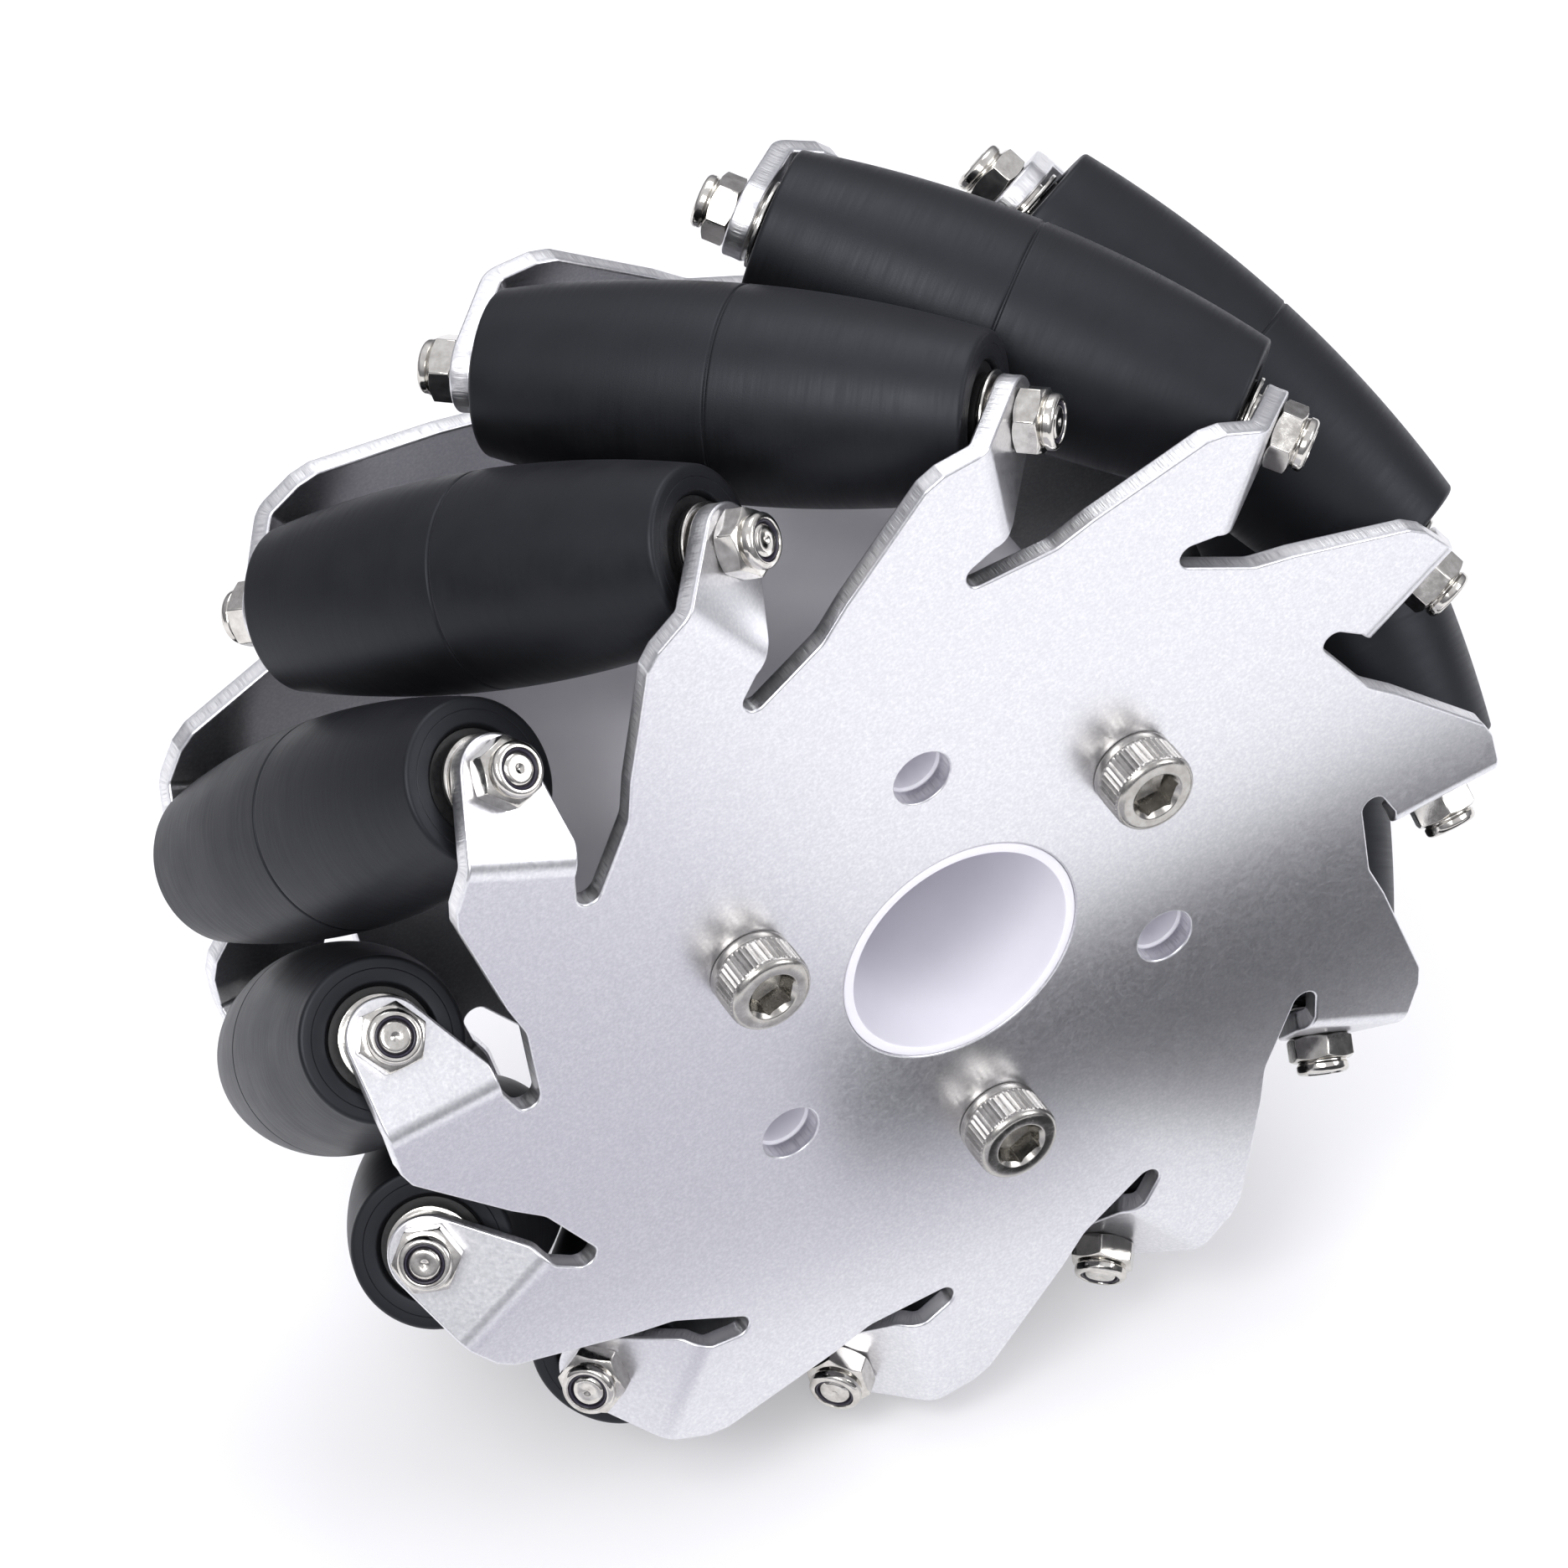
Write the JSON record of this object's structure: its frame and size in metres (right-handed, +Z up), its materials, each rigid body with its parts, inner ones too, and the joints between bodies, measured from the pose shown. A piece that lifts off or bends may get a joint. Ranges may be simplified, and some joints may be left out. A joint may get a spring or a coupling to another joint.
{
  "type": "mecanum wheel",
  "caption": "Omnidirectional robot wheel: barrel rollers held at an angle between two side plates with bent ears, on a hub core with a clamped shaft coupling.",
  "frame": {"origin": "centre of the wheel: on its axis, midway between the two side plates", "axes": "+Y along the wheel's axis towards the shaft coupling, so the outer side with the screw heads faces -Y; +Z up; X completes the frame, level and across the wheel"},
  "size_m": [0.152, 0.0955, 0.152],
  "materials": {
    "plate_aluminium": "fine blasted, bright cut edges",
    "core_nylon": "smooth white",
    "turned_aluminium": "turned, bright",
    "plated_steel": "bright nickel plate",
    "set_screw_steel": "black oxide",
    "lock_ring_nylon": "matt dark",
    "roller_rubber": "matt black with a moulding seam",
    "roller_core_plastic": "matt black",
    "bush_plastic": "smooth black acetal"
  },
  "bodies": {
    "wheel": {"front_plate": "plate_aluminium", "back_plate": "plate_aluminium", "hub_core": "core_nylon", "adapter_disc": "turned_aluminium", "shaft_coupling": "turned_aluminium", "coupling_set_screws": "set_screw_steel", "clamp_screws": "plated_steel", "clamp_nuts": "plated_steel", "clamp_lock_nuts": "plated_steel", "clamp_lock_nut_rings": "lock_ring_nylon", "roller_studs": "plated_steel", "front_stud_lock_nuts": "plated_steel", "back_stud_lock_nuts": "plated_steel", "front_lock_nut_rings": "lock_ring_nylon", "back_lock_nut_rings": "lock_ring_nylon", "front_thrust_washers": "plated_steel", "back_thrust_washers": "plated_steel"},
    "roller_01": {"roller_tyre_01": "roller_rubber", "roller_core_01": "roller_core_plastic", "roller_bushes_01": "bush_plastic"},
    "roller_02": {"roller_tyre_02": "roller_rubber", "roller_core_02": "roller_core_plastic", "roller_bushes_02": "bush_plastic"},
    "roller_03": {"roller_tyre_03": "roller_rubber", "roller_core_03": "roller_core_plastic", "roller_bushes_03": "bush_plastic"},
    "roller_04": {"roller_tyre_04": "roller_rubber", "roller_core_04": "roller_core_plastic", "roller_bushes_04": "bush_plastic"},
    "roller_05": {"roller_tyre_05": "roller_rubber", "roller_core_05": "roller_core_plastic", "roller_bushes_05": "bush_plastic"},
    "roller_06": {"roller_tyre_06": "roller_rubber", "roller_core_06": "roller_core_plastic", "roller_bushes_06": "bush_plastic"},
    "roller_07": {"roller_tyre_07": "roller_rubber", "roller_core_07": "roller_core_plastic", "roller_bushes_07": "bush_plastic"},
    "roller_08": {"roller_tyre_08": "roller_rubber", "roller_core_08": "roller_core_plastic", "roller_bushes_08": "bush_plastic"},
    "roller_09": {"roller_tyre_09": "roller_rubber", "roller_core_09": "roller_core_plastic", "roller_bushes_09": "bush_plastic"},
    "roller_10": {"roller_tyre_10": "roller_rubber", "roller_core_10": "roller_core_plastic", "roller_bushes_10": "bush_plastic"},
    "roller_11": {"roller_tyre_11": "roller_rubber", "roller_core_11": "roller_core_plastic", "roller_bushes_11": "bush_plastic"},
    "roller_12": {"roller_tyre_12": "roller_rubber", "roller_core_12": "roller_core_plastic", "roller_bushes_12": "bush_plastic"}
  },
  "joints": [
    {"name": "roller_spin_01", "type": "hinge", "parent": "wheel", "child": "roller_01", "pos_m": [0.06291, 0, 0.01177], "axis": [0.1301, -0.7071, -0.695], "continuous": true},
    {"name": "roller_spin_02", "type": "hinge", "parent": "wheel", "child": "roller_02", "pos_m": [0.04859, 0, 0.04165], "axis": [0.4602, -0.7071, -0.5369], "continuous": true},
    {"name": "roller_spin_03", "type": "hinge", "parent": "wheel", "child": "roller_03", "pos_m": [0.02126, 0, 0.06037], "axis": [0.667, -0.7071, -0.2349], "continuous": true},
    {"name": "roller_spin_04", "type": "hinge", "parent": "wheel", "child": "roller_04", "pos_m": [-0.01177, 0, 0.06291], "axis": [0.695, -0.7071, 0.1301], "continuous": true},
    {"name": "roller_spin_05", "type": "hinge", "parent": "wheel", "child": "roller_05", "pos_m": [-0.04165, 0, 0.04859], "axis": [0.5369, -0.7071, 0.4602], "continuous": true},
    {"name": "roller_spin_06", "type": "hinge", "parent": "wheel", "child": "roller_06", "pos_m": [-0.06037, 0, 0.02126], "axis": [0.2349, -0.7071, 0.667], "continuous": true},
    {"name": "roller_spin_07", "type": "hinge", "parent": "wheel", "child": "roller_07", "pos_m": [-0.06291, 0, -0.01177], "axis": [-0.1301, -0.7071, 0.695], "continuous": true},
    {"name": "roller_spin_08", "type": "hinge", "parent": "wheel", "child": "roller_08", "pos_m": [-0.04859, 0, -0.04165], "axis": [-0.4602, -0.7071, 0.5369], "continuous": true},
    {"name": "roller_spin_09", "type": "hinge", "parent": "wheel", "child": "roller_09", "pos_m": [-0.02126, 0, -0.06037], "axis": [-0.667, -0.7071, 0.2349], "continuous": true},
    {"name": "roller_spin_10", "type": "hinge", "parent": "wheel", "child": "roller_10", "pos_m": [0.01177, 0, -0.06291], "axis": [-0.695, -0.7071, -0.1301], "continuous": true},
    {"name": "roller_spin_11", "type": "hinge", "parent": "wheel", "child": "roller_11", "pos_m": [0.04165, 0, -0.04859], "axis": [-0.5369, -0.7071, -0.4602], "continuous": true},
    {"name": "roller_spin_12", "type": "hinge", "parent": "wheel", "child": "roller_12", "pos_m": [0.06037, 0, -0.02126], "axis": [-0.2349, -0.7071, -0.667], "continuous": true}
  ]
}
